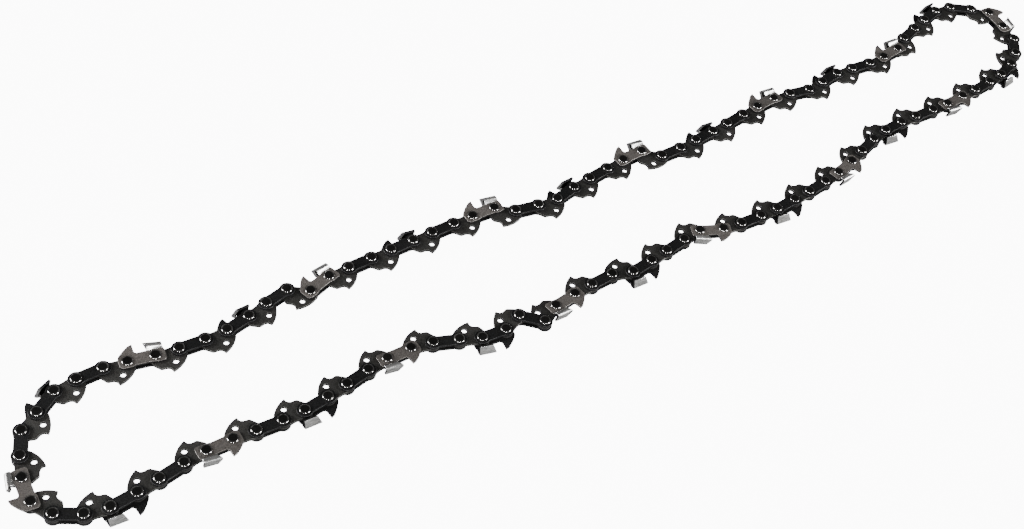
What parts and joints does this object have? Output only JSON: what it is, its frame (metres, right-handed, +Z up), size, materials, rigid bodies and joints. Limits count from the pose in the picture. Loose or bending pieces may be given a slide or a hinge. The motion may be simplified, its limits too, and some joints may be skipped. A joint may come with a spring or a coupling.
{
  "type": "saw chain",
  "caption": "Closed loop of chainsaw chain lying on its side: riveted drive links with hooked tangs, tie straps, and cutters to left and right.",
  "frame": {"origin": "centre of the whole loop's bounding box, on the ground under it", "axes": "+X along the loop's length, +Y across it, +Z up, along the rivets"},
  "size_m": [0.4974, 0.0714, 0.0056],
  "materials": {
    "blackened": "blackened steel, oiled, edges a little worn",
    "chromed": "satin industrial chrome on the cutter's top plate, dull steel below"
  },
  "bodies": {
    "left_end": {"left_end_run": "blackened"},
    "near_01": {"near_run_01": "blackened"},
    "near_02": {"near_run_02": "blackened"},
    "near_03": {"near_run_03": "blackened"},
    "near_04": {"near_run_04": "blackened"},
    "near_05": {"near_run_05": "blackened"},
    "near_06": {"near_run_06": "blackened"},
    "near_07": {"near_run_07": "blackened"},
    "near_08": {"near_run_08": "blackened"},
    "near_09": {"near_run_09": "blackened"},
    "near_10": {"near_run_10": "blackened"},
    "near_11": {"near_run_11": "blackened"},
    "near_12": {"near_run_12": "blackened"},
    "side_links_1": {"upper_tie_strap_1": "blackened", "lower_tie_strap_1": "blackened", "rivet_1": "blackened", "rivet_2": "blackened"},
    "drive_link_1": {"drive_link_1": "blackened"},
    "side_links_2": {"upper_tie_strap_2": "blackened", "lower_cutter_2": "chromed", "rivet_3": "blackened", "rivet_4": "blackened"},
    "drive_link_2": {"drive_link_2": "blackened"},
    "side_links_3": {"upper_tie_strap_3": "blackened", "lower_tie_strap_3": "blackened", "rivet_5": "blackened", "rivet_6": "blackened"},
    "drive_link_3": {"drive_link_3": "blackened"},
    "side_links_4": {"upper_cutter_4": "chromed", "lower_tie_strap_4": "blackened", "rivet_7": "blackened", "rivet_8": "blackened"},
    "near_13": {"near_run_13": "blackened"},
    "near_14": {"near_run_14": "blackened"},
    "near_15": {"near_run_15": "blackened"},
    "near_16": {"near_run_16": "blackened"},
    "right_end": {"right_end_run": "blackened"},
    "far_01": {"far_run_01": "blackened"},
    "far_02": {"far_run_02": "blackened"},
    "far_03": {"far_run_03": "blackened"},
    "far_04": {"far_run_04": "blackened"},
    "far_05": {"far_run_05": "blackened"},
    "far_06": {"far_run_06": "blackened"},
    "far_07": {"far_run_07": "blackened"},
    "far_08": {"far_run_08": "blackened"},
    "far_09": {"far_run_09": "blackened"},
    "far_10": {"far_run_10": "blackened"},
    "far_11": {"far_run_11": "blackened"},
    "far_12": {"far_run_12": "blackened"},
    "far_13": {"far_run_13": "blackened"},
    "far_14": {"far_run_14": "blackened"},
    "far_15": {"far_run_15": "blackened"},
    "far_16": {"far_run_16": "blackened"},
    "far_17": {"far_run_17": "blackened"},
    "far_18": {"far_run_18": "blackened"},
    "far_19": {"far_run_19": "blackened"},
    "far_20": {"far_run_20": "blackened"},
    "far_21": {"far_run_21": "blackened"},
    "far_22": {"far_run_22": "blackened"},
    "far_23": {"far_run_23": "blackened"}
  },
  "joints": [
    {"name": "bend_01", "type": "hinge", "parent": "left_end", "child": "near_01", "pos_m": [-0.17415, -0.0196, 0.0028], "axis": [0, 0, 1], "range_deg": [-36, 36]},
    {"name": "bend_01_near_out", "type": "hinge", "parent": "near_01", "child": "near_02", "pos_m": [-0.16549, -0.02038, 0.0028], "axis": [0, 0, 1], "range_deg": [-36, 36]},
    {"name": "bend_02", "type": "hinge", "parent": "near_02", "child": "near_03", "pos_m": [-0.15557, -0.02119, 0.0028], "axis": [0, 0, 1], "range_deg": [-36, 27]},
    {"name": "bend_02_near_out", "type": "hinge", "parent": "near_03", "child": "near_04", "pos_m": [-0.12838, -0.01892, 0.0028], "axis": [0, 0, 1], "range_deg": [-27, 36]},
    {"name": "bend_03", "type": "hinge", "parent": "near_04", "child": "near_05", "pos_m": [-0.11857, -0.01727, 0.0028], "axis": [0, 0, 1], "range_deg": [-36, 36]},
    {"name": "bend_03_near_out", "type": "hinge", "parent": "near_05", "child": "near_06", "pos_m": [-0.09998, -0.01647, 0.0028], "axis": [0, 0, 1], "range_deg": [-36, 36]},
    {"name": "bend_04", "type": "hinge", "parent": "near_06", "child": "near_07", "pos_m": [-0.09145, -0.01821, 0.0028], "axis": [0, 0, 1], "range_deg": [-36, 36]},
    {"name": "bend_04_near_out", "type": "hinge", "parent": "near_07", "child": "near_08", "pos_m": [-0.0643, -0.02632, 0.0028], "axis": [0, 0, 1], "range_deg": [-36, 36]},
    {"name": "bend_05", "type": "hinge", "parent": "near_08", "child": "near_09", "pos_m": [-0.02277, -0.02459, 0.0028], "axis": [0, 0, 1], "range_deg": [-36, 36]},
    {"name": "bend_05_near_out", "type": "hinge", "parent": "near_09", "child": "near_10", "pos_m": [-0.00465, -0.02728, 0.0028], "axis": [0, 0, 1], "range_deg": [-36, 36]},
    {"name": "bend_06", "type": "hinge", "parent": "near_10", "child": "near_11", "pos_m": [0.00526, -0.02631, 0.0028], "axis": [0, 0, 1], "range_deg": [-36, 21]},
    {"name": "bend_06_near_out", "type": "hinge", "parent": "near_11", "child": "near_12", "pos_m": [0.01388, -0.02518, 0.0028], "axis": [0, 0, 1], "range_deg": [-21, 36]},
    {"name": "bend_07", "type": "hinge", "parent": "near_12", "child": "side_links_1", "pos_m": [0.05021, -0.02838, 0.0028], "axis": [0, 0, 1], "range_deg": [-36, 36]},
    {"name": "bend_07_near_out", "type": "hinge", "parent": "side_links_1", "child": "drive_link_1", "pos_m": [0.06013, -0.02915, 0.0028], "axis": [0, 0, 1], "range_deg": [-36, 36]},
    {"name": "bend_08", "type": "hinge", "parent": "drive_link_1", "child": "side_links_2", "pos_m": [0.06883, -0.02931, 0.0028], "axis": [0, 0, 1], "range_deg": [-25, 36]},
    {"name": "bend_08_near_out", "type": "hinge", "parent": "side_links_2", "child": "drive_link_2", "pos_m": [0.07877, -0.029, 0.0028], "axis": [0, 0, 1], "range_deg": [-36, 25]},
    {"name": "bend_09", "type": "hinge", "parent": "drive_link_2", "child": "side_links_3", "pos_m": [0.08746, -0.02846, 0.0028], "axis": [0, 0, 1], "range_deg": [-31, 36]},
    {"name": "bend_09_near_out", "type": "hinge", "parent": "side_links_3", "child": "drive_link_3", "pos_m": [0.09736, -0.02752, 0.0028], "axis": [0, 0, 1], "range_deg": [-36, 31]},
    {"name": "bend_10", "type": "hinge", "parent": "drive_link_3", "child": "side_links_4", "pos_m": [0.10598, -0.02634, 0.0028], "axis": [0, 0, 1], "range_deg": [-27, 36]},
    {"name": "bend_10_near_out", "type": "hinge", "parent": "side_links_4", "child": "near_13", "pos_m": [0.11568, -0.02412, 0.0028], "axis": [0, 0, 1], "range_deg": [-36, 27]},
    {"name": "bend_11", "type": "hinge", "parent": "near_13", "child": "near_14", "pos_m": [0.13358, -0.01889, 0.0028], "axis": [0, 0, 1], "range_deg": [-36, 36]},
    {"name": "bend_11_near_out", "type": "hinge", "parent": "near_14", "child": "near_15", "pos_m": [0.16077, -0.01735, 0.0028], "axis": [0, 0, 1], "range_deg": [-36, 36]},
    {"name": "bend_12", "type": "hinge", "parent": "near_15", "child": "near_16", "pos_m": [0.17939, -0.01828, 0.0028], "axis": [0, 0, 1], "range_deg": [-25, 36]},
    {"name": "bend_12_near_out", "type": "hinge", "parent": "near_16", "child": "right_end", "pos_m": [0.19803, -0.01783, 0.0028], "axis": [0, 0, 1], "range_deg": [-36, 25]},
    {"name": "bend_05_far_in", "type": "hinge", "parent": "left_end", "child": "far_23", "pos_m": [-0.20946, 0.02886, 0.0028], "axis": [0, 0, 1], "range_deg": [-36, 36]},
    {"name": "bend_05_far_out", "type": "hinge", "parent": "far_23", "child": "far_22", "pos_m": [-0.19099, 0.02703, 0.0028], "axis": [0, 0, 1], "range_deg": [-36, 36]},
    {"name": "bend_07_far_in", "type": "hinge", "parent": "far_22", "child": "far_21", "pos_m": [-0.17267, 0.02364, 0.0028], "axis": [0, 0, 1], "range_deg": [-36, 36]},
    {"name": "bend_07_far_out", "type": "hinge", "parent": "far_21", "child": "far_20", "pos_m": [-0.16276, 0.02275, 0.0028], "axis": [0, 0, 1], "range_deg": [-36, 36]},
    {"name": "bend_11_far_in", "type": "hinge", "parent": "far_20", "child": "far_19", "pos_m": [-0.13587, 0.02684, 0.0028], "axis": [0, 0, 1], "range_deg": [-36, 36]},
    {"name": "bend_11_far_out", "type": "hinge", "parent": "far_19", "child": "far_18", "pos_m": [-0.10931, 0.02679, 0.0028], "axis": [0, 0, 1], "range_deg": [-36, 36]},
    {"name": "bend_12_far_in", "type": "hinge", "parent": "far_18", "child": "far_17", "pos_m": [-0.10061, 0.0269, 0.0028], "axis": [0, 0, 1], "range_deg": [-25, 36]},
    {"name": "bend_12_far_out", "type": "hinge", "parent": "far_17", "child": "far_16", "pos_m": [-0.08196, 0.02688, 0.0028], "axis": [0, 0, 1], "range_deg": [-36, 25]},
    {"name": "bend_08_far_in", "type": "hinge", "parent": "far_16", "child": "far_15", "pos_m": [-0.06332, 0.02668, 0.0028], "axis": [0, 0, 1], "range_deg": [-25, 36]},
    {"name": "bend_08_far_out", "type": "hinge", "parent": "far_15", "child": "far_14", "pos_m": [-0.05337, 0.02649, 0.0028], "axis": [0, 0, 1], "range_deg": [-36, 25]},
    {"name": "bend_04_far_in", "type": "hinge", "parent": "far_14", "child": "far_13", "pos_m": [-0.04467, 0.02625, 0.0028], "axis": [0, 0, 1], "range_deg": [-36, 36]},
    {"name": "bend_04_far_out", "type": "hinge", "parent": "far_13", "child": "far_12", "pos_m": [-0.01791, 0.01873, 0.0028], "axis": [0, 0, 1], "range_deg": [-36, 36]},
    {"name": "bend_02_far_in", "type": "hinge", "parent": "far_12", "child": "far_11", "pos_m": [0.0005, 0.01971, 0.0028], "axis": [0, 0, 1], "range_deg": [-36, 27]},
    {"name": "bend_02_far_out", "type": "hinge", "parent": "far_11", "child": "far_10", "pos_m": [0.02771, 0.02246, 0.0028], "axis": [0, 0, 1], "range_deg": [-27, 36]},
    {"name": "bend_06_far_in", "type": "hinge", "parent": "far_10", "child": "far_09", "pos_m": [0.07252, 0.0178, 0.0028], "axis": [0, 0, 1], "range_deg": [-36, 21]},
    {"name": "bend_06_far_out", "type": "hinge", "parent": "far_09", "child": "far_08", "pos_m": [0.08119, 0.01853, 0.0028], "axis": [0, 0, 1], "range_deg": [-21, 36]},
    {"name": "bend_09_far_in", "type": "hinge", "parent": "far_08", "child": "far_07", "pos_m": [0.09976, 0.02031, 0.0028], "axis": [0, 0, 1], "range_deg": [-31, 36]},
    {"name": "bend_09_far_out", "type": "hinge", "parent": "far_07", "child": "far_06", "pos_m": [0.1097, 0.02077, 0.0028], "axis": [0, 0, 1], "range_deg": [-36, 31]},
    {"name": "bend_03_far_in", "type": "hinge", "parent": "far_06", "child": "far_05", "pos_m": [0.13675, 0.01863, 0.0028], "axis": [0, 0, 1], "range_deg": [-36, 36]},
    {"name": "bend_03_far_out", "type": "hinge", "parent": "far_05", "child": "far_04", "pos_m": [0.15529, 0.01892, 0.0028], "axis": [0, 0, 1], "range_deg": [-36, 36]},
    {"name": "bend_01_far_in", "type": "hinge", "parent": "far_04", "child": "far_03", "pos_m": [0.16518, 0.01778, 0.0028], "axis": [0, 0, 1], "range_deg": [-36, 36]},
    {"name": "bend_01_far_out", "type": "hinge", "parent": "far_03", "child": "far_02", "pos_m": [0.17388, 0.01785, 0.0028], "axis": [0, 0, 1], "range_deg": [-36, 36]},
    {"name": "bend_10_far_in", "type": "hinge", "parent": "far_02", "child": "far_01", "pos_m": [0.19152, 0.02283, 0.0028], "axis": [0, 0, 1], "range_deg": [-27, 36]}
  ],
  "couplings": [
    {"joint": "bend_01_near_out", "follows": "bend_01", "ratio": -1},
    {"joint": "bend_02_near_out", "follows": "bend_02", "ratio": -1},
    {"joint": "bend_03_near_out", "follows": "bend_03", "ratio": -1},
    {"joint": "bend_04_near_out", "follows": "bend_04", "ratio": -1},
    {"joint": "bend_05_near_out", "follows": "bend_05", "ratio": -1},
    {"joint": "bend_06_near_out", "follows": "bend_06", "ratio": -1},
    {"joint": "bend_07_near_out", "follows": "bend_07", "ratio": -1},
    {"joint": "bend_08_near_out", "follows": "bend_08", "ratio": -1},
    {"joint": "bend_09_near_out", "follows": "bend_09", "ratio": -1},
    {"joint": "bend_10_near_out", "follows": "bend_10", "ratio": -1},
    {"joint": "bend_11_near_out", "follows": "bend_11", "ratio": -1},
    {"joint": "bend_12_near_out", "follows": "bend_12", "ratio": -1},
    {"joint": "bend_05_far_in", "follows": "bend_05", "ratio": 1},
    {"joint": "bend_05_far_out", "follows": "bend_05", "ratio": -1},
    {"joint": "bend_07_far_in", "follows": "bend_07", "ratio": 1},
    {"joint": "bend_07_far_out", "follows": "bend_07", "ratio": -1},
    {"joint": "bend_11_far_in", "follows": "bend_11", "ratio": 1},
    {"joint": "bend_11_far_out", "follows": "bend_11", "ratio": -1},
    {"joint": "bend_12_far_in", "follows": "bend_12", "ratio": 1},
    {"joint": "bend_12_far_out", "follows": "bend_12", "ratio": -1},
    {"joint": "bend_08_far_in", "follows": "bend_08", "ratio": 1},
    {"joint": "bend_08_far_out", "follows": "bend_08", "ratio": -1},
    {"joint": "bend_04_far_in", "follows": "bend_04", "ratio": 1},
    {"joint": "bend_04_far_out", "follows": "bend_04", "ratio": -1},
    {"joint": "bend_02_far_in", "follows": "bend_02", "ratio": 1},
    {"joint": "bend_02_far_out", "follows": "bend_02", "ratio": -1},
    {"joint": "bend_06_far_in", "follows": "bend_06", "ratio": 1},
    {"joint": "bend_06_far_out", "follows": "bend_06", "ratio": -1},
    {"joint": "bend_09_far_in", "follows": "bend_09", "ratio": 1},
    {"joint": "bend_09_far_out", "follows": "bend_09", "ratio": -1},
    {"joint": "bend_03_far_in", "follows": "bend_03", "ratio": 1},
    {"joint": "bend_03_far_out", "follows": "bend_03", "ratio": -1},
    {"joint": "bend_01_far_in", "follows": "bend_01", "ratio": 1},
    {"joint": "bend_01_far_out", "follows": "bend_01", "ratio": -1},
    {"joint": "bend_10_far_in", "follows": "bend_10", "ratio": 1}
  ]
}
